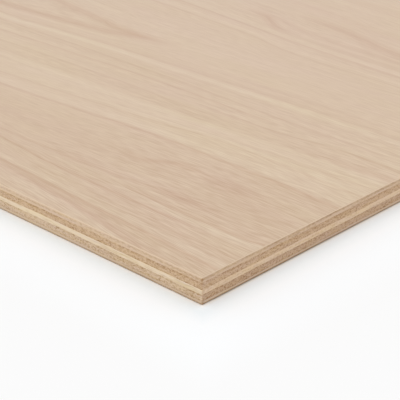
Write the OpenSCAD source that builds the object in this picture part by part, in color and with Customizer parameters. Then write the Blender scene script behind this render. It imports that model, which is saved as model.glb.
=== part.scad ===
// Five-ply plywood sheet, lying flat with its face veneer up.
// Sizes are in millimetres. X runs along the sheet and its face grain, Y across it,
// and Z through the thickness. The origin is the middle of the underside.
// Each ply is one veneer. The grain of the face, core and back runs along X, and
// the grain of the two crossbands between them runs along Y.

/* [Sheet] */
// Length of the sheet, along the face grain
sheet_length = 2440; // [300:1:3100]
// Width of the sheet, across the face grain
sheet_width = 1220; // [200:1:1530]

/* [Plies] */
// Thickness of the face veneer
face_thickness = 2.5; // [0.8:0.1:4]
// Thickness of the crossband under the face veneer
upper_crossband_thickness = 3; // [1:0.1:5]
// Thickness of the core ply in the middle
core_thickness = 2.1; // [1:0.1:5]
// Thickness of the crossband over the back veneer
lower_crossband_thickness = 3; // [1:0.1:5]
// Thickness of the back veneer
back_thickness = 1.4; // [0.8:0.1:4]

/* [Edges] */
// Radius of the sanded arris round the face and round the back
arris_radius = 0.4; // [0.1:0.05:0.7]
// Radius of the four upright corners
corner_radius = 0.6; // [0.1:0.05:5]

/* [Hidden] */
$fn = 48;

// Height of each glue line above the underside
back_glue_line = back_thickness;
lower_glue_line = back_glue_line + lower_crossband_thickness;
upper_glue_line = lower_glue_line + core_thickness;
face_glue_line = upper_glue_line + upper_crossband_thickness;

// Rectangle about the origin with its corners rounded to the given radius
module rounded_rectangle(length, width, radius) {
    square([length - 2 * radius, width], center = true);
    square([length, width - 2 * radius], center = true);
    for (along = [-1, 1], across = [-1, 1])
        translate([along * (length / 2 - radius), across * (width / 2 - radius)])
            circle(r = radius);
}

// One veneer trimmed to the sheet, with square arrises, from a glue line upwards
module veneer(from, thickness) {
    translate([0, 0, from])
        linear_extrude(thickness)
            rounded_rectangle(sheet_length, sheet_width, corner_radius);
}

// Section of an outer ply: its outer arrises are rounded, and it reaches one
// thickness past the glue line so that the arris by the glue stays square
module eased_section(span, thickness) {
    rounded_rectangle(span, 2 * thickness, arris_radius);
}

// Prism of the eased section along the sheet and another across it, which meet in
// a mitre at each corner
module eased_envelope(thickness) {
    intersection() {
        rotate([90, 0, 90])
            linear_extrude(sheet_length, center = true)
                eased_section(sheet_width, thickness);
        rotate([90, 0, 0])
            linear_extrude(sheet_width, center = true)
                eased_section(sheet_length, thickness);
    }
}

module face_veneer() {
    color("burlywood")
        intersection() {
            veneer(face_glue_line, face_thickness);
            translate([0, 0, face_glue_line])
                eased_envelope(face_thickness);
        }
}

module upper_crossband() {
    color("peru")
        veneer(upper_glue_line, upper_crossband_thickness);
}

module core_ply() {
    color("wheat")
        veneer(lower_glue_line, core_thickness);
}

module lower_crossband() {
    color("peru")
        veneer(back_glue_line, lower_crossband_thickness);
}

module back_veneer() {
    color("tan")
        intersection() {
            veneer(0, back_thickness);
            translate([0, 0, back_thickness])
                eased_envelope(back_thickness);
        }
}

face_veneer();
upper_crossband();
core_ply();
lower_crossband();
back_veneer();
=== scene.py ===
"""Dresses a five-ply plywood sheet. Each ply gets a mesh of its own, with wavy glue lines and a sawn edge,
and a procedural finish. The outer plies have sanded arrises. The sheet lies on a pale studio floor."""

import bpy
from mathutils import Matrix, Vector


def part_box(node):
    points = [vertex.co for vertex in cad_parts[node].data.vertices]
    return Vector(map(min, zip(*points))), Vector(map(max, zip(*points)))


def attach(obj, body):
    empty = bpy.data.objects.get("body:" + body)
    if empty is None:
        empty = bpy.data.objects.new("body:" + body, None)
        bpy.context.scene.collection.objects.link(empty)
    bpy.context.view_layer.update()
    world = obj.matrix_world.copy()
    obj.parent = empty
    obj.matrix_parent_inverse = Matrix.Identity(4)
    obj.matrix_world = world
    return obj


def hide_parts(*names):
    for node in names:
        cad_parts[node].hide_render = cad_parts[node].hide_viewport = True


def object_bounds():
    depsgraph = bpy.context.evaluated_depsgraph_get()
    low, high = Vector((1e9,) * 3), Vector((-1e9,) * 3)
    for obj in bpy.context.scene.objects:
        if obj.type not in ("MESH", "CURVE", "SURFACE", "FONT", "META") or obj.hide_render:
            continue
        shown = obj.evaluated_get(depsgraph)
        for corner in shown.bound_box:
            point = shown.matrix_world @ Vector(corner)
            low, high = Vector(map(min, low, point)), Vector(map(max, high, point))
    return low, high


bl_info = {
    "name": "Plywood Sheet Finish",
    "version": (1, 0, 0),
    "blender": (4, 5, 0),
    "location": "View3D > Sidebar > Plywood",
    "description": "Makes the plies of a plywood sheet with their veneer finishes, and the studio round them",
    "category": "Object",
}

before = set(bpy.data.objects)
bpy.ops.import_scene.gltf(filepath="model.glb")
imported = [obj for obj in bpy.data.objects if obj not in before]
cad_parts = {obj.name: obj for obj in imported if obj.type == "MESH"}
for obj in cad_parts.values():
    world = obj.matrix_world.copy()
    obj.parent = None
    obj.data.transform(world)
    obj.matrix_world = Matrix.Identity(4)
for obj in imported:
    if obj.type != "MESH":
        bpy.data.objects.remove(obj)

import math
from collections import namedtuple

import bpy
import numpy as np
from bpy.props import FloatProperty, FloatVectorProperty, PointerProperty
from bpy.types import Operator, Panel, PropertyGroup
from mathutils import Matrix, Vector

CAD_BOUNDS = [list(corner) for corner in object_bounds()]
MM = 0.001
PER_MM = 1000.0

# The outline of the sheet and the heights of its plies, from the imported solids
SHEET_LOW = Vector(CAD_BOUNDS[0])
SHEET_HIGH = Vector(CAD_BOUNDS[1])
LENGTH = SHEET_HIGH.x - SHEET_LOW.x
WIDTH = SHEET_HIGH.y - SHEET_LOW.y
PLIES = ("back_veneer", "lower_crossband", "core_ply", "upper_crossband", "face_veneer")
PLY_HEIGHTS = {node: (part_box(node)[0].z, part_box(node)[1].z) for node in PLIES}
UNDERSIDE = SHEET_LOW.z
FACE = SHEET_HIGH.z
THICKNESS_MM = (FACE - UNDERSIDE) * PER_MM
FACE_PLY_MM = (FACE - PLY_HEIGHTS["face_veneer"][0]) * PER_MM

# Columns of edge vertices: along a long side, along a short end and round an upright corner. Their sum
# divides by 64, so that the rings of the flat faces can keep one column in four, three times over.
LONG_COLUMNS = 1600
SHORT_COLUMNS = 800
CORNER_COLUMNS = 16
COLUMNS = 2 * (LONG_COLUMNS + SHORT_COLUMNS) + 4 * CORNER_COLUMNS
# How far inside the edge the rings of a flat face lie, the step between the columns that each keeps, and how
# far in the waves of a glue line reach
RING_INSETS = (0.8 * MM, 4 * MM, 14 * MM, 45 * MM, 130 * MM)
RING_COLUMN_STEPS = (1, 1, 4, 16, 64)
WAVE_REACH = 12 * MM
# Rows of the edge as shares of a ply's height, where they start above the back's arris and end below that of
# the face, and the share of the height that a glue line's groove takes
EDGE_SHARES = (0.0, 0.06, 0.14, 0.32, 0.5, 0.68, 0.86, 0.94, 1.0)
BACK_EDGE_FROM = 0.4
FACE_EDGE_TO = 0.8
GROOVE_SHARE = 0.14
# Turns of the rows round an arris, how much its radius varies, the height that it keeps clear, in radii, and
# the angle from which the mesh is shaded sharp
ARRIS_TURNS = tuple(math.radians(turn) for turn in (0, 18, 36, 54, 72, 90))
ARRIS_WOBBLE = 0.18
ARRIS_CLEAR = 1.1
SHARP_ANGLE = math.radians(50)

# Names that the meshes and the materials share
HEIGHT_ATTRIBUTE = "ply_height"
BAKE_MAP = "OFBake"
# How a ply lies on its map: the strips that its edge is cut into, how high they reach, and the bands of its
# faces. Each strip leaves a margin below it, and fills a share of its pitch.
MapLayout = namedtuple("MapLayout", "strips strips_high lower_face upper_face")
INNER_LAYOUT = MapLayout(38, 0.98, (0.982, 0.99), (0.991, 0.999))
LAYOUTS = {
    "back_veneer": MapLayout(16, 0.12, (0.13, 1.0), (0.121, 0.129)),
    "face_veneer": MapLayout(16, 0.12, (0.121, 0.129), (0.13, 1.0)),
}
STRIP_MARGIN = 0.14
STRIP_FILL = 0.72

# How far the floor reaches in under the sheet, the width of the camera's sensor in mm, and how far it sees
FLOOR_TUCK = 3 * MM
SENSOR_WIDTH = 36
VIEW_REACH = 500


def paint(red, green, blue):
    """A colour given as 0 to 255 on screen, as the linear values that shaders take."""
    shares = (red / 255, green / 255, blue / 255)
    return tuple(s / 12.92 if s <= 0.04045 else ((s + 0.055) / 1.055) ** 2.4 for s in shares)


def swatch(name, description, colour):
    return FloatVectorProperty(
        name=name, description=description, default=colour, subtype="COLOR", size=3, min=0, max=1
    )


def length(name, description, metres):
    return FloatProperty(
        name=name, description=description, default=metres,
        subtype="DISTANCE", unit="LENGTH", min=0, precision=6,
    )


def angle(name, description, degrees):
    return FloatProperty(name=name, description=description, default=math.radians(degrees), subtype="ANGLE")


class PlywoodEdgeSettings(PropertyGroup):
    arris_radius: length("Arris", "Radius of the sanded arris round the face and the back", 0.4 * MM)
    corner_radius: length("Corner", "Radius of the four upright corners", 0.6 * MM)
    glue_wave: length("Glue wave", "How far a glue line strays at the edge", 0.11 * MM)
    glue_groove: length("Glue groove", "Depth of the fine groove along each glue line", 0.05 * MM)
    saw_relief: length("Saw relief", "Depth of the marks that the saw left", 0.05 * MM)


class PlywoodFaceSettings(PropertyGroup):
    pale_wood: swatch("Pale wood", "Colour of the early wood of the face", paint(209, 185.6, 158.8))
    dark_wood: swatch("Dark wood", "Colour of the growth lines of the face", paint(187, 152, 125))
    # Paler than the edge: partly the sanded wood, partly a painted highlight along the arris
    arris: swatch("Arris", "Colour of the freshly sanded arris", paint(215, 191, 164))
    long_edge: swatch("Long edge", "Edge along the grain", paint(212, 184, 156))
    short_edge: swatch("Short edge", "End grain", paint(206, 176, 148))
    roughness: FloatProperty(
        name="Roughness", description="Roughness of the face", default=0.42, subtype="FACTOR", min=0, max=1
    )


class PlywoodUpperCrossbandSettings(PropertyGroup):
    long_edge: swatch("Long edge", "End grain on the long sides", paint(206, 176, 145))
    short_edge: swatch("Short edge", "Grain on the short ends", paint(202.5, 171, 142))


class PlywoodLowerCrossbandSettings(PropertyGroup):
    long_edge: swatch("Long edge", "End grain on the long sides", paint(211.5, 186, 160))
    short_edge: swatch("Short edge", "Grain on the short ends", paint(195.5, 164, 137))


class PlywoodCoreSettings(PropertyGroup):
    long_edge: swatch("Long edge", "Edge along the grain", paint(227, 206, 179.5))
    short_edge: swatch("Short edge", "End grain", paint(219, 191, 163.5))


class PlywoodBackSettings(PropertyGroup):
    pale_wood: swatch("Pale wood", "Colour of the early wood of the back", paint(208, 183, 156))
    dark_wood: swatch("Dark wood", "Colour of the growth lines of the back", paint(178, 146, 119))
    long_edge: swatch("Long edge", "Edge along the grain", paint(204.5, 180, 156))
    short_edge: swatch("Short edge", "End grain", paint(200.5, 175.5, 153))


class PlywoodStageSettings(PropertyGroup):
    floor: swatch("Floor", "Colour of the floor", (0.93, 0.93, 0.93))
    # Painted cool shade a few mm from the sheet, which takes out the warm light that the wood reflects onto
    # the floor
    floor_painted_cool: swatch("Floor beside", "Floor a few mm from the sheet", (0.885, 0.924, 0.945))
    # Painted light on the floor further round the sheet, which lifts the sheet's shadow there
    floor_painted_light: swatch("Floor round", "Floor further round the sheet", (0.95, 0.96, 0.97))
    # Painted warm light on the floor right against the sheet, where the wood reflects onto it
    floor_painted_warm: swatch("Floor close by", "Floor right at the sheet", (0.98, 0.945, 0.89))
    # Painted contact shadow on the floor by the long sides
    floor_painted_side_shadow: swatch("Floor at sides", "Floor by the long sides", (0.8, 0.83, 0.84))
    # Painted dark contact shadow on the floor by the short ends
    floor_painted_end_shadow: swatch("Floor at ends", "Floor by the short ends", (0.3, 0.25, 0.2))
    floor_reach: length("Floor reach", "Distance from the sheet's middle to the floor's end", 60.0)
    floor_gap: length("Floor gap", "Gap under the sheet, which never lies quite flat", 0.22 * MM)
    sky: FloatProperty(name="Sky", description="Strength of the light from all round", default=0.81, min=0)
    key: FloatProperty(name="Key", description="Strength of the soft lamp on the left", default=0.8, min=0)
    key_spread: angle("Key spread", "Angle that the soft lamp fills", 50)
    key_azimuth: angle("Key azimuth", "Turn of the lamp about the sheet", 272)
    key_height: angle("Key height", "Height of the lamp above the floor", 65)
    view_azimuth: angle("View azimuth", "Turn of the view from the sheet's width", 43.82)
    view_height: angle("View height", "Downward tilt of the view", 25.626)
    lens: FloatProperty(name="Lens", description="Focal length in mm", default=126.45, min=1)
    corner_depth: length("Corner depth", "Depth of the near bottom corner in the view", 536.75 * MM)
    corner_right: length("Corner right", "How far that corner lies right of the middle", 0.772 * MM)
    corner_below: length("Corner below", "How far that corner lies below the middle", 40.223 * MM)


SETTINGS = {
    "plywood_edges": PlywoodEdgeSettings,
    "plywood_face": PlywoodFaceSettings,
    "plywood_upper_crossband": PlywoodUpperCrossbandSettings,
    "plywood_core": PlywoodCoreSettings,
    "plywood_lower_crossband": PlywoodLowerCrossbandSettings,
    "plywood_back": PlywoodBackSettings,
    "plywood_stage": PlywoodStageSettings,
}


def edge_columns(corner):
    """Points and outward normals of the columns round the sheet, from the left end of the near long side and
    anticlockwise, and each column's share of the way round."""
    inner = np.array([LENGTH / 2 - corner, WIDTH / 2 - corner])
    sides = (
        ((-1, -1), (1, -1), LONG_COLUMNS, -90),
        ((1, -1), (1, 1), SHORT_COLUMNS, 0),
        ((1, 1), (-1, 1), LONG_COLUMNS, 90),
        ((-1, 1), (-1, -1), SHORT_COLUMNS, 180),
    )
    points = []
    normals = []
    for start, end, count, facing in sides:
        normal = np.array([math.cos(math.radians(facing)), math.sin(math.radians(facing))])
        first = np.array(start) * inner + normal * corner
        last = np.array(end) * inner + normal * corner
        shares = np.arange(count)[:, None] / count
        points.append(first + (last - first) * shares)
        normals.append(np.repeat(normal[None], count, axis=0))
        turns = np.radians(facing + 90 * np.arange(CORNER_COLUMNS) / CORNER_COLUMNS)
        arc = np.stack([np.cos(turns), np.sin(turns)], axis=1)
        points.append(np.array(end) * inner + arc * corner)
        normals.append(arc)
    points = np.concatenate(points)
    steps = np.linalg.norm(np.roll(points, -1, axis=0) - points, axis=1)
    around = np.concatenate([[0], np.cumsum(steps)])
    return points, np.concatenate(normals), around[:-1] / around[-1]


def ripple(around, height, waves, longest, shortest, seed):
    """A smooth random ripple round the sheet, about -1 to 1, that closes on itself and changes with height.
    Its wavelengths lie between the longest and the shortest, in metres."""
    draw = np.random.default_rng(seed)
    way_round = 2 * (LENGTH + WIDTH)
    total = np.zeros(len(around))
    for _ in range(waves):
        wavelength = longest * (shortest / longest) ** draw.random()
        turns = round(way_round / wavelength)
        slant = draw.normal(0, 2.2)
        phase = draw.uniform(0, 2 * math.pi)
        total += np.sin(2 * math.pi * turns * around + slant * height + phase)
    return total / math.sqrt(2 * waves)


def add_object(name, data):
    """Puts an object with the given data in the scene."""
    made = bpy.data.objects.new(name, data)
    bpy.context.scene.collection.objects.link(made)
    return made


class PlyMesh:
    """Collects one closed ply: rings of vertices up its edge and across its two faces. Each face corner also
    gets its place on the bake's map."""

    def __init__(self, name, layout):
        self.name = name
        self.layout = layout
        self.rings = []
        self.heights = []
        self.counts = []
        self.starts = []
        self.faces = []
        self.map_places = []

    def ring(self, places, height):
        """Adds a ring of vertices and returns its number."""
        self.starts.append(sum(self.counts))
        self.counts.append(len(places))
        self.rings.append(places)
        self.heights.append(np.broadcast_to(height, len(places)))
        return len(self.counts) - 1

    def strip_place(self, column, level):
        """Place on the map of an edge vertex, at a level of the edge from 0 to 1."""
        per_strip = COLUMNS // self.layout.strips
        strip, offset = divmod(column, per_strip)
        pitch = self.layout.strips_high / self.layout.strips
        return offset / per_strip, pitch * (strip + STRIP_MARGIN + STRIP_FILL * level)

    def add_edge(self, lower, upper, low_level, high_level):
        """Joins two rings of the edge with four-sided faces."""
        first = self.starts[lower]
        other = self.starts[upper]
        per_strip = COLUMNS // self.layout.strips
        for i in range(COLUMNS):
            j = (i + 1) % COLUMNS
            self.faces.append((first + i, first + j, other + j, other + i))
            left, low = self.strip_place(i, low_level)
            _, high = self.strip_place(i, high_level)
            right = left + 1 / per_strip
            self.map_places += [(left, low), (right, low), (right, high), (left, high)]

    def flat_place(self, number, index, upwards):
        """Place on the map of a vertex of a flat face, which is drawn to the width of the map."""
        low, high = self.layout.upper_face if upwards else self.layout.lower_face
        x, y = self.rings[number][index][:2]
        return (x - SHEET_LOW.x) / LENGTH, low + (high - low) * (y - SHEET_LOW.y) / WIDTH

    def add_flat(self, outer, inner, upwards):
        """Joins a ring of a flat face to the next one inside it, which may have fewer columns."""
        ratio = self.counts[outer] // self.counts[inner]
        count = self.counts[inner]
        for i in range(count):
            run = [(outer, (i * ratio + k) % self.counts[outer]) for k in range(ratio + 1)]
            run += [(inner, (i + 1) % count), (inner, i)]
            self.add_face(run, upwards)

    def add_face(self, run, upwards):
        """Adds one face of a flat face, from a run of (ring, column)."""
        if not upwards:
            run = run[::-1]
        self.faces.append(tuple(self.starts[number] + i for number, i in run))
        self.map_places += [self.flat_place(number, i, upwards) for number, i in run]

    def finish(self):
        mesh = bpy.data.meshes.new(self.name)
        mesh.from_pydata(np.concatenate(self.rings).tolist(), [], self.faces)
        attribute = mesh.attributes.new(HEIGHT_ATTRIBUTE, "FLOAT", "POINT")
        attribute.data.foreach_set("value", np.concatenate(self.heights).astype(np.float32))
        layer = mesh.uv_layers.new(name=BAKE_MAP)
        layer.uv.foreach_set("vector", np.array(self.map_places, np.float32).ravel())
        mesh.shade_smooth()
        mesh.set_sharp_from_angle(angle=SHARP_ANGLE)
        return add_object(self.name, mesh)


def flat_rings(edge_ring, plane):
    """Rings of a flat face inside its edge ring, from the edge to the middle. Each shrinks the outline by its
    inset, and the waves of the edge die out on the way."""
    half = np.array([LENGTH / 2, WIDTH / 2])
    rings = []
    for inset, step in zip(RING_INSETS, RING_COLUMN_STEPS):
        points = edge_ring[::step, :2] * (1 - inset / half)
        fade = max(0.0, 1 - inset / WAVE_REACH)
        heights = plane + (edge_ring[::step, 2] - plane) * fade
        rings.append(np.column_stack([points, heights]))
    return rings


def glue_line(around, number, settings):
    """Heights of a glue line at each column. The first is the flat underside and the last the flat face."""
    level = UNDERSIDE if number == 0 else PLY_HEIGHTS[PLIES[number - 1]][1]
    if number in (0, len(PLIES)):
        return np.full(COLUMNS, level)
    wave = np.clip(ripple(around, 0.0, 14, 420 * MM, 24 * MM, seed=110 + number), -1.6, 1.6)
    return level + settings.glue_wave * wave


def edge_profile(node, around, settings):
    """Rows of one ply's edge from the bottom to the top, as (share of its height, inset, heights)."""
    number = PLIES.index(node)
    lower = glue_line(around, number, settings)
    upper = glue_line(around, number + 1, settings)
    wobble = ripple(around, 0.0, 30, 300 * MM, 12 * MM, seed=50 + number)
    arris = settings.arris_radius * (1 + ARRIS_WOBBLE * wobble)
    clear = ARRIS_CLEAR * arris
    is_back = number == 0
    is_face = number == len(PLIES) - 1
    rows = []
    if is_back:
        rows += [(0.0, arris * (1 - math.sin(t)), UNDERSIDE + arris * (1 - math.cos(t))) for t in ARRIS_TURNS]
    for share in EDGE_SHARES:
        if (is_back and share < BACK_EDGE_FROM) or (is_face and share > FACE_EDGE_TO):
            continue
        rough = ripple(around, share * 3, 60, 60 * MM, 5 * MM, seed=7 + number)
        groove = max(0.0, 1 - min(share, 1 - share) / GROOVE_SHARE)
        inset = settings.saw_relief * np.clip(0.5 + 0.35 * rough, 0, 1) * (1 - groove)
        heights = lower + (upper - lower) * share
        heights = np.maximum(heights, UNDERSIDE + clear)
        heights = np.minimum(heights, FACE - clear)
        rows.append((share, inset + settings.glue_groove * groove, heights))
    if is_face:
        rows += [(1.0, arris * (1 - math.cos(t)), FACE - arris * (1 - math.sin(t))) for t in ARRIS_TURNS]
    return rows


def build_ply(name, node, settings):
    """One ply of the sheet as a closed mesh: a sawn edge, with an arris on an outer ply, and two faces."""
    points, normals, around = edge_columns(settings.corner_radius)
    low, high = PLY_HEIGHTS[node]
    ply = PlyMesh(name, LAYOUTS.get(node, INNER_LAYOUT))
    edge = []
    for share, inset, heights in edge_profile(node, around, settings):
        places = np.column_stack([points - normals * np.reshape(inset, (-1, 1)), heights])
        edge.append((ply.ring(places, share), places))
    for i in range(len(edge) - 1):
        ply.add_edge(edge[i][0], edge[i + 1][0], i / (len(edge) - 1), (i + 1) / (len(edge) - 1))
    for upwards, (outer, places), plane in ((False, edge[0], low), (True, edge[-1], high)):
        for ring in flat_rings(places, plane):
            inner = ply.ring(ring, 1.0 if upwards else 0.0)
            ply.add_flat(outer, inner, upwards)
            outer = inner
        ply.add_face([(outer, i) for i in range(ply.counts[outer])], upwards)
    return ply.finish()


class NodeTree:
    """A tree of shader nodes, with short calls that add to it."""

    def __init__(self, tree):
        self.tree = tree

    def node(self, kind, *values, **settings):
        """Adds a node with these settings, and with these values in its first sockets."""
        made = self.tree.nodes.new(kind)
        for name, value in settings.items():
            setattr(made, name, value)
        for socket, value in zip(made.inputs, values):
            self.put(socket, value)
        return made

    def put(self, socket, value):
        """Links a value that another node gives, or sets a plain number or colour."""
        if isinstance(value, bpy.types.NodeSocket):
            self.tree.links.new(value, socket)
        elif socket.type == "RGBA":
            socket.default_value = (*value[:3], 1.0)
        else:
            socket.default_value = value

    def math(self, operation, *values):
        return self.node("ShaderNodeMath", *values, operation=operation).outputs[0]

    def mix_surfaces(self, output, share, first, second):
        """Gives the named output a mix of two surfaces."""
        mix = self.node("ShaderNodeMixShader", share, first.outputs[0], second.outputs[0])
        self.put(self.tree.nodes[output].inputs["Surface"], mix.outputs[0])


class Finish(NodeTree):
    """A material, with one short call for each kind of node that the veneers need. Its places are in mm: run
    from the short end at the near corner, across from the near long side, and depth below the face."""

    def __init__(self, name, roughness):
        self.material = bpy.data.materials.new(name)
        self.material.use_nodes = True
        super().__init__(self.material.node_tree)
        self.shader = self.tree.nodes["Principled BSDF"]
        self.shader.inputs["Roughness"].default_value = roughness
        origin = self.node("ShaderNodeTexCoord").outputs["Object"]
        corner = Vector((SHEET_HIGH.x, -SHEET_LOW.y, FACE)) * PER_MM
        self.place = self.stretched(origin, (-PER_MM, PER_MM, -PER_MM), corner)
        self.run, self.across, self.depth = self.split(self.place)
        self.share = self.node("ShaderNodeAttribute", attribute_name=HEIGHT_ATTRIBUTE).outputs["Fac"]

    def stretched(self, vector, scales, shifts):
        made = self.node("ShaderNodeVectorMath", vector, scales, shifts, operation="MULTIPLY_ADD")
        return made.outputs[0]

    def split(self, vector):
        return self.node("ShaderNodeSeparateXYZ", vector).outputs

    def point(self, run, across, depth):
        return self.node("ShaderNodeCombineXYZ", run, across, depth).outputs[0]

    def product(self, first, second):
        return self.math("MULTIPLY", first, second)

    def less(self, first, second):
        return self.math("SUBTRACT", first, second)

    def total(self, *values):
        result = values[0]
        for value in values[1:]:
            result = self.math("ADD", result, value)
        return result

    def steps_from(self, value, middle, size):
        """How far a value lies from the middle, in steps of the given size."""
        return self.math("MULTIPLY_ADD", value, 1 / size, -middle / size)

    def fade(self, value, start, end, first=0.0, last=1.0, smooth=True):
        """Goes from first to last as the value goes from start to end, and stays there beyond them."""
        made = self.node("ShaderNodeMapRange", value, start, end, first, last, clamp=True)
        made.interpolation_type = "SMOOTHSTEP" if smooth else "LINEAR"
        return made.outputs["Result"]

    def curve(self, value, points):
        """A smooth curve through points. Before the first and after the last it stays level."""
        first = points[0][0]
        span = points[-1][0] - first
        low = min(height for _, height in points)
        rise = max(height for _, height in points) - low
        made = self.node("ShaderNodeFloatCurve")
        made.mapping.extend = "HORIZONTAL"
        knots = made.mapping.curves[0].points
        while len(knots) < len(points):
            knots.new(0.5, 0.5)
        for knot, (at, height) in zip(knots, points):
            knot.location = ((at - first) / span, (height - low) / rise)
            knot.handle_type = "AUTO_CLAMPED"
        made.mapping.update()
        self.put(made.inputs["Value"], self.steps_from(value, first, span))
        return self.math("MULTIPLY_ADD", made.outputs[0], rise, low)

    def noise(self, place, sizes, strength, seed, detail=0.0, rough=0.5):
        """Smooth noise about zero, with features of these sizes in mm along, across and through the sheet."""
        starts = [step * seed for step in SEED_STEPS]
        place = self.stretched(place, [1 / size for size in sizes], starts)
        made = self.node("ShaderNodeTexNoise", place, noise_dimensions="3D")
        made.inputs["Scale"].default_value = 1.0
        made.inputs["Detail"].default_value = detail
        made.inputs["Roughness"].default_value = rough
        return self.math("MULTIPLY_ADD", made.outputs["Fac"], strength, -0.5 * strength)

    def blend(self, first, second, share, blend_type="MIX", clamp_factor=True):
        made = self.node(
            "ShaderNodeMix", share, data_type="RGBA", blend_type=blend_type, clamp_factor=clamp_factor
        )
        self.put(made.inputs[6], first)
        self.put(made.inputs[7], second)
        return made.outputs[2]

    def tinted(self, colour, tint, share):
        """The colour multiplied by a tint, as far as the share says. A share below zero does the opposite."""
        return self.blend(colour, tint, share, "MULTIPLY", False)

    def edge_colour(self, settings, tones, dark, corner_dark, long_dark=0.0, end_dark=0.0):
        """The colour of the sawn edge: one wood on the long sides and another on the short ends, both
        darkened, then each by a shade of its own, and both at the upright corners. Its hue varies."""
        facing = self.node("ShaderNodeNewGeometry").outputs["Normal"]
        short_end = self.fade(self.math("ABSOLUTE", self.split(facing)[0]), 0.55, 0.85)
        from_end = self.math("PINGPONG", self.run, LENGTH * PER_MM / 2)
        from_side = self.math("PINGPONG", self.across, WIDTH * PER_MM / 2)
        from_corner = self.total(from_end, from_side)
        shade = self.total(dark, self.fade(from_corner, 0.15, 1.2, corner_dark, 0.0))
        long_shade = self.total(shade, long_dark, self.curve(self.run, (*tones.long_side, TONES_END)))
        end_shade = self.total(shade, end_dark, self.curve(self.across, (*tones.short_end, TONES_END)))
        long_side = self.blend(settings.long_edge, darkened(settings.long_edge), long_shade)
        end = self.blend(settings.short_edge, darkened(settings.short_edge), end_shade)
        patches = self.noise(self.place, (12, 12, 1.5), 2.6, tones.hue_seed, 3.0, 0.75)
        tint = self.blend(GREY_TINT, YELLOW_TINT, self.total(patches, 0.5))
        return self.tinted(self.blend(long_side, end, short_end), tint, 1.0)

    def colour(self, colour):
        self.put(self.shader.inputs["Base Color"], colour)

    def bump(self, height, depth):
        made = self.node("ShaderNodeBump")
        made.inputs["Distance"].default_value = depth
        self.put(made.inputs["Height"], height)
        self.put(self.shader.inputs["Normal"], made.outputs[0])


# Step between the starts of two noises whose seeds follow each other
SEED_STEPS = (3.1, 5.3, 7.7)
# What the colour of the face is multiplied by on a full growth line and on a full dark fibre, and where it is
# most yellow and most pink
FACE_LINE_TINT = (0.8, 0.645, 0.575)
FACE_FIBRE_TINT = (0.763, 0.652, 0.575)
FACE_YELLOW_TINT = (0.995, 1.005, 0.965)
FACE_PINK_TINT = (1.008, 0.998, 1.035)
# What the colour of the edge is multiplied by where it is most grey, most yellow and darkest
GREY_TINT = (0.985, 0.995, 1.05)
YELLOW_TINT = (1.012, 1.01, 0.88)
DARK_SHARES = (0.55, 0.42, 0.25)
# Slow changes of shade along the edges by the near corner, as (distance from it in mm, shade), on the long
# side and on the short end, and the seed of the changes of hue
EdgeTones = namedtuple("EdgeTones", "long_side short_end hue_seed")
TONES_END = (300, 0)
FACE_TONES = EdgeTones(
    ((11, 0.03), (35, 0.01), (70, -0.09), (110, -0.12)),
    ((0.2, 0.25), (1.4, 0.1), (4, -0.01), (11, -0.085), (35, 0.05), (70, 0.01), (110, -0.04)),
    61,
)
UPPER_TONES = EdgeTones(
    ((11, 0.1), (35, 0.08), (70, -0.02), (110, 0)),
    ((0, 0.2), (1.2, -0.36), (2.4, 0.1), (11, 0.08), (35, 0.02), (70, 0.04), (110, -0.085)),
    64,
)
CORE_TONES = EdgeTones(
    ((11, 0.02), (35, 0), (70, 0), (110, -0.03)),
    ((1.2, 0.24), (3, 0.08), (11, 0.06), (35, -0.02), (70, 0.05), (110, -0.02)),
    71,
)
LOWER_TONES = EdgeTones(
    ((0.5, 0.18), (4, 0.28), (11, 0.06), (35, 0.04), (70, 0.06), (110, -0.1)),
    ((11, 0.1), (35, 0), (70, -0.02), (110, -0.06)),
    67,
)
BACK_TONES = EdgeTones(
    ((11, 0.05), (35, 0.05), (70, -0.11), (110, -0.11)),
    ((0.5, 0.32), (2.6, -0.06), (11, -0.08), (35, 0), (70, 0), (110, -0.17)),
    74,
)


def darkened(colour):
    """The colour of the pores, the late wood, the glue stain and the painted shade in a wood of the given
    colour.
    """
    return tuple(value * share for value, share in zip(colour, DARK_SHARES))


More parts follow.
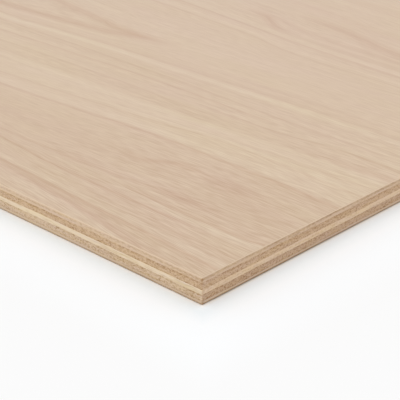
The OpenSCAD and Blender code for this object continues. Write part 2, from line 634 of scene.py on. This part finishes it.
# A growth line drawn on the face near the corner, in mm: its points as (run, across), how dark it is (below
# zero for a pale one), how far its shade reaches, the side on which it ends sharply (1 for the far side, -1
# for the near one, 0 for neither), and the stretch of the run on which it shows
GrowthLine = namedtuple("GrowthLine", "points darkness reach sharp_side shown", defaults=((0, 400),))
GROWTH_LINES = tuple(GrowthLine(*row) for row in (
    (((0, -3), (40, 1.5), (80, 8), (126, 12.5), (290, 20)), 0.27, 8, -1, (0, 130)),
    (((0, 8.7), (40, 11.7), (80, 13.6), (141, 17.5), (290, 25)), 0.39, 6, 1),
    (
        ((0, 27.6), (58, 28.2), (97, 28.9), (126, 30), (136, 31.2), (165, 34), (290, 41)),
        0.3, 5, -1, (30, 400),
    ),
    (((0, 33.2), (20, 32), (58, 32.6), (97, 34.4), (165, 36), (290, 42.8)), -0.21, 3.2, 0, (0, 80)),
    (((0, 35.8), (20, 34.5), (58, 34.9), (97, 36.6), (165, 37.4), (290, 44)), 0.31, 6, -1, (0, 80)),
    (((0, 45), (58, 44.2), (88, 41.7), (126, 40.2), (168, 40), (290, 48.5)), 0.2, 7, -1, (30, 400)),
    (((0, 82.7), (40, 84.6), (97, 85), (156, 81.7), (204, 78.3), (290, 75)), 0.32, 8, 1),
    (((0, 98.2), (78, 100.7), (117, 97.3), (156, 93.9), (214, 89.5), (290, 85.5)), 0.25, 5, 1),
    (((0, 114.5), (58, 112.2), (146, 108.3), (214, 107.8), (290, 106)), -0.1, 6, 0),
    (((0, 118.7), (58, 116.2), (146, 112.3), (214, 111.8), (290, 110)), 0.13, 9, -1),
    (((0, 123), (58, 121.5), (126, 121), (175, 122), (290, 120)), 0.2, 5, 1, (110, 400)),
    (((0, 130.3), (24, 130.8), (58, 128.4), (88, 126.5), (195, 127.5)), 0.3, 4, 1, (0, 120)),
    (((0, 134), (97, 134.2), (156, 135.6), (214, 134.2), (310, 131)), 0.36, 5, 1, (80, 400)),
    (((0, 139.5), (58, 139.6), (117, 141.5), (165, 143.2), (290, 144)), 0.19, 5, 1, (25, 400)),
    (((0, 153), (58, 155), (126, 154.2), (214, 152.5), (253, 151), (290, 148.5)), -0.21, 4, 0),
    (((0, 157), (58, 159), (126, 158), (214, 156.5), (253, 155), (290, 152)), 0.23, 7, -1),
    (((0, 175.5), (97, 177), (185, 177.2), (214, 175.2), (243, 170), (310, 164)), 0.45, 6, 0, (216, 420)),
    (((0, 181.5), (97, 182), (185, 180.4), (224, 178.8), (253, 182.2), (300, 189)), 0.42, 6, 0, (202, 420)),
    (((0, 213), (117, 214), (141, 215.4), (175, 221.7), (214, 225.6), (258, 229)), 0.25, 5, 1, (0, 420)),
    (((0, 223.4), (97, 226.3), (156, 230.2), (185, 233.7), (248, 240.2)), 0.34, 6, 1, (0, 420)),
    (((0, 231), (136, 236.3), (160, 238), (195, 244), (233, 249)), 0.17, 4, 0, (30, 150)),
    (((0, 234), (136, 238.6), (167, 240.7), (195, 252.8), (233, 255.8)), 0.54, 5, 0, (168, 197)),
    (((0, 239.5), (97, 242.7), (156, 247), (175, 252.4), (233, 263)), 0.23, 5, 0, (70, 200)),
    (((0, 246.6), (97, 252.5), (126, 259.2), (146, 263.6), (253, 275)), 0.42, 7, 0, (50, 165)),
    (((0, 268.4), (117, 273.3), (146, 278.6), (175, 283), (233, 286)), 0.2, 7, 0, (60, 300)),
    (((0, 299.6), (136, 307.3), (175, 311.7), (253, 315)), 0.16, 8, 0, (60, 300)),
))
# Short fine lines that the grain doesn't follow
FINE_LINES = tuple(GrowthLine(*row) for row in (
    (((0, 20.6), (20, 19.8), (50, 19.6), (290, 21)), 0.12, 3, 0, (0, 45)),
    (((0, 25.5), (60, 26), (75, 26.4), (92, 27.2), (290, 31)), 0.14, 3, 0, (58, 88)),
    (((0, 60.5), (40, 65.5), (73, 68.8), (85, 66.6), (104, 60.6), (290, 58)), 0.4, 4, 0, (66, 103)),
    (((0, 95), (60, 95.2), (90, 95.8), (120, 97.5), (290, 97)), 0.1, 3, 0, (55, 100)),
    (((0, 107), (40, 106.2), (70, 105.8), (110, 106.3), (150, 104.5), (290, 100)), 0.12, 3, 0, (0, 120)),
    (((0, 111), (20, 112), (50, 111.8), (75, 110.4), (110, 109), (290, 100)), 0.14, 3, 0, (0, 75)),
    (((0, 120.2), (20, 119.8), (40, 119), (60, 117.6), (80, 117), (290, 110)), 0.18, 3.5, 0, (0, 45)),
    (((0, 164), (40, 165), (95, 166.3), (130, 165.5), (290, 163)), 0.12, 4, 0, (30, 130)),
))
# Soft dark patches near the corner, in mm: the middle of each, its half length and width, and how dark it is
DarkPatch = namedtuple("DarkPatch", "run across half_length half_width darkness")
DARK_PATCHES = tuple(DarkPatch(*row) for row in (
    (46, 67, 16, 5.5, 0.24),
    (53, 44, 16, 3.5, 0.2),
    (67, 58, 10, 5, -0.07),
    (118, 41, 14, 4, 0.1),
    (22, 58, 18, 12, 0.08),
    (8, 14, 26, 22, -0.07),
    (120, 103, 130, 13, -0.05),
    (40, 106, 70, 14, -0.07),
    (140, 136, 150, 15, 0.06),
))
# The far edge of the darker wood along the near long side, as (run, across) in mm, and how dark it is
DARK_ZONE_EDGE = ((0, 88), (55, 86), (80, 74), (290, 67))
DARK_ZONE = 0.15
# Shade across a growth line, from one end of its reach to the other: one that ends sharply, with a pale band
# beyond, and one that is even on both sides. Then how far round its two ends a line fades.
SHARP_SHADE = (
    (-1, 0), (-0.5, 0.16), (-0.2, 0.45), (-0.04, 1), (0.13, 0.3), (0.24, -0.2), (0.6, -0.32), (1, 0)
)
EVEN_SHADE = ((-1, 0), (-0.5, 0.5), (0, 1), (0.5, 0.5), (1, 0))
START_FADE = 18
END_FADE = 22
# Where the drawn figure gives way to that of the rest of the face, along the run and across
NEAR_RUN = (330, 620)
NEAR_ACROSS = (330, 560)
# The middle of a strip of smoother wood among the drawn lines, and the strength of the streaks outside it
SMOOTH_ACROSS = 63
STREAK_STRENGTH = 0.8
# Shade of the glue stain on the edge of each crossband, from its lower glue line to its upper one
UPPER_GLUE = ((0, 0.18), (0.16, 0.13), (0.4, 0.02), (0.62, 0.04), (0.84, 0.23), (1, 0.25))
LOWER_GLUE = ((0, 0.22), (0.16, 0.17), (0.4, 0.02), (0.62, 0), (0.84, 0.17), (1, 0.22))
# The rings of the rest of the face: their width, and the shade from one ring's start to its end
RING_WIDTH = 17
RING_SHADE = ((0, -0.1), (0.5, 0.05), (0.86, 0.3), (0.95, 1), (1, -0.1))


def drawn_figure(wood):
    """The shade of the drawn growth lines, and a grain that follows them: across, bent so that along each
    line it keeps the value that the line has at the short end."""
    routes = [wood.curve(wood.run, line.points) for line in GROWTH_LINES]
    starts = [line.points[0][1] for line in GROWTH_LINES]
    before = wood.math("MINIMUM", wood.less(wood.across, routes[0]), 0.0)
    beyond = wood.math("MAXIMUM", wood.less(wood.across, routes[-1]), 0.0)
    grain = wood.total(before, beyond, starts[0])
    for lower, upper, start, end in zip(routes, routes[1:], starts, starts[1:]):
        step = wood.fade(wood.across, lower, upper, 0.0, end - start, smooth=False)
        grain = wood.total(grain, step)
    shade = 0.0
    routes += [wood.curve(wood.run, line.points) for line in FINE_LINES]
    for line, route in zip(GROWTH_LINES + FINE_LINES, routes):
        off = wood.less(wood.across, route)
        scaled = wood.math("DIVIDE", off, line.reach * (line.sharp_side or 1))
        stroke = wood.curve(scaled, SHARP_SHADE if line.sharp_side else EVEN_SHADE)
        start, end = line.shown
        strength = wood.fade(wood.run, end - END_FADE, end + END_FADE, line.darkness, 0.0)
        if start > 0:
            shown = wood.fade(wood.run, start - START_FADE, start + START_FADE)
            strength = wood.product(strength, shown)
        shade = wood.math("MULTIPLY_ADD", stroke, strength, shade)
    return shade, grain


def drawn_tone(wood):
    """The shade of the darker wood along the near long side, and of the dark patches in it."""
    beyond = wood.less(wood.across, wood.curve(wood.run, DARK_ZONE_EDGE))
    shade = wood.fade(beyond, -9, 7, DARK_ZONE, 0.0)
    for patch in DARK_PATCHES:
        along = wood.steps_from(wood.run, patch.run, patch.half_length)
        aside = wood.steps_from(wood.across, patch.across, patch.half_width)
        off = wood.math("POWER", along, 2.0)
        off = wood.math("MULTIPLY_ADD", aside, aside, off)
        shade = wood.total(shade, wood.fade(off, 0.0, 1.7, patch.darkness, 0.0))
    return shade


def face_grain(wood):
    """The bent grain of the whole face, the slow changes of its tone, and the shade of its growth lines."""
    drawn, near_grain = drawn_figure(wood)
    near_run = wood.fade(wood.run, *NEAR_RUN, 1.0, 0.0)
    near = wood.product(near_run, wood.fade(wood.across, *NEAR_ACROSS, 1.0, 0.0))
    far = wood.less(1.0, near)
    sway = wood.noise(wood.place, (1100, 300, 60), 330, 11, 1.0, 0.45)
    waver = wood.noise(wood.place, (260, 70, 60), 24, 4)
    far_grain = wood.total(wood.across, sway, waver)
    grain_across = wood.total(wood.product(near_grain, near), wood.product(far_grain, far))
    grain = wood.point(wood.run, grain_across, wood.depth)
    uneven = wood.noise(grain, (700, 40, 60), 3.0, 21)
    ring = wood.math("FRACT", wood.math("MULTIPLY_ADD", grain_across, 1 / RING_WIDTH, uneven))
    ring_strength = wood.fade(wood.noise(grain, (500, 34, 60), 1.0, 23), -0.1, 0.25, 0.06, 0.34)
    rings = wood.product(wood.curve(ring, RING_SHADE), ring_strength)
    far_rings = wood.product(rings, wood.math("MULTIPLY_ADD", near, -0.88, 1.0))
    breaks = wood.total(wood.noise(grain, (150, 5, 9), 0.5, 15, 1.0), 1.0)
    lines = wood.product(wood.total(far_rings, wood.product(drawn, near)), breaks)
    far_tone = wood.noise(grain, (1600, 70, 60), 0.5, 27, 1.0)
    tone = wood.math("MULTIPLY_ADD", drawn_tone(wood), near, wood.product(far_tone, far))
    return grain, tone, lines


def veneer_fibre(wood, grain, hair_strength, strength):
    """Short fibres and fine streaks along the grain."""
    hairs = wood.noise(grain, (7, 0.42, 2), 1.0, 8)
    flecks = wood.noise(grain, (85, 1.1, 3), 0.5, 3, 1.0, 0.6)
    streaks = wood.noise(grain, (240, 3.2, 9), 0.42, 6, 1.0)
    streaks = wood.total(flecks, streaks)
    hairs = wood.product(hairs, hair_strength)
    return wood.math("MULTIPLY_ADD", streaks, strength, hairs)


def face_finish(settings):
    """The face veneer: growth lines, wide bands, streaks and fibres, and streaks and specks on its edge."""
    wood = Finish("face_veneer_wood", settings.roughness)
    grain, tone, lines = face_grain(wood)
    bands = wood.noise(grain, (420, 12, 40), 0.3, 2, 1.0)
    from_corner = wood.total(wood.run, wood.across)
    hair_strength = wood.fade(from_corner, 40, 340, 1.48, 0.56)
    aside = wood.math("ABSOLUTE", wood.less(wood.across, SMOOTH_ACROSS))
    smooth = wood.fade(aside, 8, 22, 0.45, 0.0)
    smooth = wood.product(smooth, wood.fade(wood.run, 130, 330, 1.0, 0.0))
    streak_strength = wood.math("MULTIPLY_ADD", smooth, -STREAK_STRENGTH, STREAK_STRENGTH)
    fibre = veneer_fibre(wood, grain, hair_strength, streak_strength)
    top = wood.blend(settings.pale_wood, settings.dark_wood, wood.total(0.2, bands, tone))
    top = wood.tinted(top, FACE_FIBRE_TINT, fibre)
    top = wood.tinted(top, FACE_LINE_TINT, lines)
    hue = wood.noise(grain, (60, 14, 10), 1.6, 38, 1.0)
    hue = wood.total(0.45, hue, wood.fade(wood.across, 150, 210, 0.0, 0.25))
    top = wood.tinted(top, wood.blend(FACE_YELLOW_TINT, FACE_PINK_TINT, hue), 1.0)
    wander = wood.total(wood.depth, wood.noise(wood.place, (90, 90, 2), 0.5, 31))
    streak_line = wood.curve(wander, ((0.4, 0), (0.95, 0.24), (1.4, 0.08), (1.9, 0), (FACE_PLY_MM, 0.08)))
    edge_streaks = wood.noise(wood.place, (40, 9, 0.33), 0.6, 30, 2.0, 0.6)
    edge_bands = wood.noise(wood.place, (80, 20, 1.0), 1.6, 33, 2.0, 0.6)
    edge_specks = wood.noise(wood.place, (1.5, 1.5, 0.45), 1.4, 36, 1.0, 0.6)
    corner_stain = wood.fade(wood.run, 6, 28, 0.3, 0.0)
    long_dark = wood.product(corner_stain, wood.fade(wood.depth, 0.7, 1.8))
    end_dark = wood.curve(wood.depth, ((0.2, 0), (0.6, 0.12), (1.2, -0.02), (2.2, 0)))
    dark = wood.total(0.08, streak_line, edge_streaks, edge_bands, edge_specks)
    edge = wood.edge_colour(settings, FACE_TONES, dark, 0.4, long_dark, end_dark)
    # The arris is painted paler: partly the sanding, partly a painted highlight
    ragged = wood.total(wood.depth, wood.noise(wood.place, (4, 4, 1), 0.4, 35, 1.0))
    sanded_arris_and_highlight = wood.blend(edge, settings.arris, wood.fade(ragged, 0.22, 0.5, 1.0, 0.0))
    wood.colour(wood.blend(top, sanded_arris_and_highlight, wood.fade(wood.depth, 0.003, 0.06)))
    wood.bump(fibre, -0.04 * MM)
    return wood


def crossband_finish(name, settings, tones, glue_shade, corner_dark, corner_stain, speckle, end_speckle):
    """A crossband: mottled sawn grain with pores, and darker glue lines above and below."""
    wood = Finish(name, 0.75)
    glue = wood.curve(wood.share, glue_shade)
    mottle = wood.noise(wood.place, (8, 12, 1.2), 0.45, 2, 1.0, 0.6)
    tone = wood.noise(wood.place, (60, 60, 4), 0.6, tones.hue_seed, 1.0, 0.6)
    specks = wood.noise(wood.place, (1.0, 0.8, 0.42), speckle, 5, 1.0, 0.6)
    pores = wood.fade(wood.noise(wood.place, (0.9, 0.8, 0.55), 1.0, 12), 0.14, 0.22, 0.0, 0.5)
    long_dark = wood.fade(wood.run, 10, 60, corner_stain, 0.0)
    long_dark = wood.product(long_dark, wood.fade(wood.share, 0.35, 0.8))
    end_dark = wood.product(specks, end_speckle)
    dark = wood.total(0.1, glue, mottle, tone, specks, pores)
    wood.colour(wood.edge_colour(settings, tones, dark, corner_dark, long_dark, end_dark))
    wood.bump(wood.total(specks, pores), -0.06 * MM)
    return wood


def core_finish(settings):
    """The core ply: pale, with streaks along the run."""
    wood = Finish("core_ply_wood", 0.7)
    middle = wood.curve(wood.share, ((0, 0.08), (0.2, 0.03), (0.45, 0.05), (0.8, -0.03), (1, 0)))
    streaks = wood.noise(wood.place, (60, 7, 0.9), 1.05, 7, 2.0, 0.6)
    specks = wood.noise(wood.place, (4, 1.2, 0.7), 0.95, 9, 1.0, 0.6)
    core_line = wood.curve(wood.depth, ((5.8, 0), (6.5, 0.22), (7.3, 0.16), (7.6, 0.1)))
    long_dark = wood.product(core_line, wood.fade(wood.run, 9, 20, 1.0, 0.0))
    dark = wood.total(0.04, middle, streaks, specks)
    wood.colour(wood.edge_colour(settings, CORE_TONES, dark, 0.1, long_dark))
    wood.bump(wood.total(streaks, specks), -0.03 * MM)
    return wood


def back_finish(settings):
    """The back veneer: plainer grain along the run, and painted shade low on the edge where it meets the
    floor.
    """
    wood = Finish("back_veneer_wood", 0.6)
    sway = wood.noise(wood.place, (900, 260, 60), 300, 41, 1.0, 0.45)
    grain_across = wood.total(sway, wood.across)
    grain = wood.point(wood.run, grain_across, wood.depth)
    bands = wood.noise(grain, (700, 24, 40), 0.5, 43, 1.0)
    fibre = veneer_fibre(wood, grain, 0.9, 1.2)
    under = wood.blend(settings.pale_wood, settings.dark_wood, wood.total(0.3, bands, fibre))
    height = wood.less(THICKNESS_MM, wood.depth)
    # Painted contact shade: the back's edge is darker towards the floor
    stain = wood.fade(height, 0.35, 0.9, 0.62, 0.0)
    edge_streaks = wood.noise(wood.place, (40, 3, 0.35), 0.5, 37, 2.0, 0.6)
    # More painted contact shade on the short ends, lowest on the edge
    painted_end_shade = wood.fade(height, 0.2, 0.9, 0.32, 0.0)
    dark = wood.total(0.06, stain, edge_streaks)
    edge = wood.edge_colour(settings, BACK_TONES, dark, 0.3, end_dark=painted_end_shade)
    wood.colour(wood.blend(under, edge, wood.fade(height, 0.02, 0.12)))
    wood.bump(fibre, -0.04 * MM)
    return wood


def place_ply(context, name, node, finish):
    """Builds one ply, dresses it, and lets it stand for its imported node."""
    ply = build_ply(name, node, context.scene.plywood_edges)
    ply.data.materials.append(finish.material)
    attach(ply, "root")
    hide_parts(node)


class PLYWOOD_OT_face_veneer(Operator):
    """Make the face veneer with its sanded arris and its grain"""

    bl_idname = "plywood.face_veneer"
    bl_label = "Face Veneer"

    def execute(self, context):
        finish = face_finish(context.scene.plywood_face)
        place_ply(context, "sanded_face_veneer", "face_veneer", finish)
        return {"FINISHED"}


class PLYWOOD_OT_crossbands(Operator):
    """Make the two crossbands, each from a log of its own"""

    bl_idname = "plywood.crossbands"
    bl_label = "Crossbands"

    def execute(self, context):
        upper = crossband_finish(
            "upper_crossband_wood", context.scene.plywood_upper_crossband, UPPER_TONES, UPPER_GLUE,
            corner_dark=0.2, corner_stain=0.14, speckle=2.1, end_speckle=0.2,
        )
        place_ply(context, "sawn_upper_crossband", "upper_crossband", upper)
        lower = crossband_finish(
            "lower_crossband_wood", context.scene.plywood_lower_crossband, LOWER_TONES, LOWER_GLUE,
            corner_dark=-0.15, corner_stain=0.0, speckle=1.8, end_speckle=0.8,
        )
        place_ply(context, "sawn_lower_crossband", "lower_crossband", lower)
        return {"FINISHED"}


class PLYWOOD_OT_core_ply(Operator):
    """Make the pale core ply in the middle of the sheet"""

    bl_idname = "plywood.core_ply"
    bl_label = "Core Ply"

    def execute(self, context):
        finish = core_finish(context.scene.plywood_core)
        place_ply(context, "sawn_core_ply", "core_ply", finish)
        return {"FINISHED"}


class PLYWOOD_OT_back_veneer(Operator):
    """Make the thin back veneer with its arris"""

    bl_idname = "plywood.back_veneer"
    bl_label = "Back Veneer"

    def execute(self, context):
        finish = back_finish(context.scene.plywood_back)
        place_ply(context, "sanded_back_veneer", "back_veneer", finish)
        return {"FINISHED"}


def make_floor(settings):
    """A wide floor with an opening under the sheet, and clear from below, so that the back can be seen."""
    reach = settings.floor_reach
    level = UNDERSIDE - settings.floor_gap
    inner_x = LENGTH / 2 - FLOOR_TUCK
    inner_y = WIDTH / 2 - FLOOR_TUCK
    corners = ((-1, -1), (1, -1), (1, 1), (-1, 1))
    places = [(x * reach, y * reach, level) for x, y in corners]
    places += [(x * inner_x, y * inner_y, level) for x, y in corners]
    faces = [(i, (i + 1) % 4, 4 + (i + 1) % 4, 4 + i) for i in range(4)]
    mesh = bpy.data.meshes.new("studio_floor")
    mesh.from_pydata(places, [], faces)
    floor = add_object("studio_floor", mesh)
    finish = Finish("studio_floor_white", 0.9)
    finish.shader.inputs["Specular IOR Level"].default_value = 0.0
    # Far out the floor is plain white; close to the sheet its colour carries painted shadows and painted
    # light
    aways = []
    for value, size in ((finish.run, LENGTH), (finish.across, WIDTH)):
        half = size * PER_MM / 2
        from_middle = finish.math("ABSOLUTE", finish.less(value, half))
        aways.append(finish.less(from_middle, half))
    end_away, side_away = aways
    away = finish.math("MAXIMUM", end_away, side_away)
    # Painted light round the sheet that lifts its shadow; plain floor further out
    wide = finish.blend(settings.floor, settings.floor_painted_light, finish.fade(away, 16, 48, 1.0, 0.0))
    # Painted cool shade a few mm out from the sheet, against the warm light reflected from the wood
    beside = finish.curve(away, ((0, 0.2), (1.5, 0.8), (4, 1), (6, 0.7), (11, 0)))
    colour = finish.blend(wide, settings.floor_painted_cool, beside)
    # Painted warm reflected light right against the sheet
    colour = finish.blend(colour, settings.floor_painted_warm, finish.fade(away, 0.4, 1.6, 0.8, 0.0))
    # Painted contact shadow on the floor by the long sides
    painted_shadow = finish.curve(side_away, ((0, 0), (1.2, 0.38), (2.6, 0.28), (5, 0)))
    painted_shadow = finish.product(painted_shadow, finish.fade(end_away, -0.5, 0.5, 1.0, 0.0))
    colour = finish.blend(colour, settings.floor_painted_side_shadow, painted_shadow)
    # Painted dark contact shadow on the floor by the short ends
    painted_shadow = finish.fade(end_away, 0.0, 0.8, 0.3, 0.0)
    painted_shadow = finish.product(painted_shadow, finish.fade(side_away, -8, -3.2, 1.0, 0.0))
    painted_shadow = finish.product(painted_shadow, finish.fade(side_away, -125, -70, 0.5, 1.0))
    finish.colour(finish.blend(colour, settings.floor_painted_end_shadow, painted_shadow))
    clear = finish.node("ShaderNodeBsdfTransparent")
    from_below = finish.node("ShaderNodeNewGeometry").outputs["Backfacing"]
    finish.mix_surfaces("Material Output", from_below, finish.shader, clear)
    mesh.materials.append(finish.material)


def make_sky(settings):
    """An even sky that lights the sheet. It is plain white to the camera and in reflections."""
    world = bpy.data.worlds.new("studio_sky")
    bpy.context.scene.world = world
    world.use_nodes = True
    sky = NodeTree(world.node_tree)
    white = (1, 1, 1)
    light = sky.tree.nodes["Background"]
    sky.put(light.inputs["Color"], white)
    sky.put(light.inputs["Strength"], settings.sky)
    backdrop = sky.node("ShaderNodeBackground", white)
    path = sky.node("ShaderNodeLightPath").outputs
    seen = sky.math("MAXIMUM", path["Is Camera Ray"], path["Is Glossy Ray"])
    sky.mix_surfaces("World Output", seen, light, backdrop)


def make_key_lamp(settings):
    """A wide soft lamp, far off on the left."""
    lamp = bpy.data.lights.new("key_lamp", "SUN")
    lamp.energy = settings.key
    lamp.angle = settings.key_spread
    flat = math.cos(settings.key_height)
    towards = Vector((
        flat * math.cos(settings.key_azimuth),
        flat * math.sin(settings.key_azimuth),
        math.sin(settings.key_height),
    ))
    key = add_object("key_lamp", lamp)
    key.rotation_euler = towards.to_track_quat("Z", "Y").to_euler()


def make_camera(settings):
    """The camera, placed from where the near bottom corner of the sheet lies in its view."""
    turn = settings.view_azimuth
    tilt = settings.view_height
    right = Vector((math.cos(turn), math.sin(turn), 0))
    back = Vector((math.sin(turn) * math.cos(tilt), -math.cos(turn) * math.cos(tilt), math.sin(tilt)))
    up = back.cross(right)
    corner = Vector((SHEET_HIGH.x, SHEET_LOW.y, SHEET_LOW.z))
    place = corner - right * settings.corner_right + up * settings.corner_below + back * settings.corner_depth
    view = bpy.data.cameras.new("sheet_camera")
    view.lens = settings.lens
    view.sensor_width = SENSOR_WIDTH
    view.clip_end = VIEW_REACH
    camera = add_object("sheet_camera", view)
    camera.matrix_world = Matrix.Translation(place) @ Matrix((right, up, back)).transposed().to_4x4()
    bpy.context.scene.camera = camera


class PLYWOOD_OT_stage(Operator):
    """Set the floor, the light and the camera"""

    bl_idname = "plywood.stage"
    bl_label = "Studio Stage"

    def execute(self, context):
        settings = context.scene.plywood_stage
        make_floor(settings)
        make_sky(settings)
        make_key_lamp(settings)
        make_camera(settings)
        context.scene.view_settings.view_transform = "Standard"
        return {"FINISHED"}


OPERATORS = (
    PLYWOOD_OT_face_veneer,
    PLYWOOD_OT_crossbands,
    PLYWOOD_OT_core_ply,
    PLYWOOD_OT_back_veneer,
    PLYWOOD_OT_stage,
)


class PLYWOOD_PT_sidebar(Panel):
    """Lists the pieces of the sheet and their settings"""

    bl_idname = "PLYWOOD_PT_sidebar"
    bl_label = "Plywood Sheet"
    bl_space_type = "VIEW_3D"
    bl_region_type = "UI"
    bl_category = "Plywood"

    def draw(self, context):
        for operator in OPERATORS:
            self.layout.operator(operator.bl_idname)
        for name, group in SETTINGS.items():
            box = self.layout.box()
            box.label(text=name.replace("_", " ").capitalize())
            for setting in group.__annotations__:
                box.prop(getattr(context.scene, name), setting)


CLASSES = (*SETTINGS.values(), *OPERATORS, PLYWOOD_PT_sidebar)


def register():
    for entry in CLASSES:
        bpy.utils.register_class(entry)
    for name, group in SETTINGS.items():
        setattr(bpy.types.Scene, name, PointerProperty(type=group))


def unregister():
    for name in SETTINGS:
        delattr(bpy.types.Scene, name)
    for entry in reversed(CLASSES):
        bpy.utils.unregister_class(entry)


def main():
    register()
    bpy.ops.plywood.face_veneer()
    bpy.ops.plywood.crossbands()
    bpy.ops.plywood.core_ply()
    bpy.ops.plywood.back_veneer()
    bpy.ops.plywood.stage()


if __name__ == "__main__":
    main()
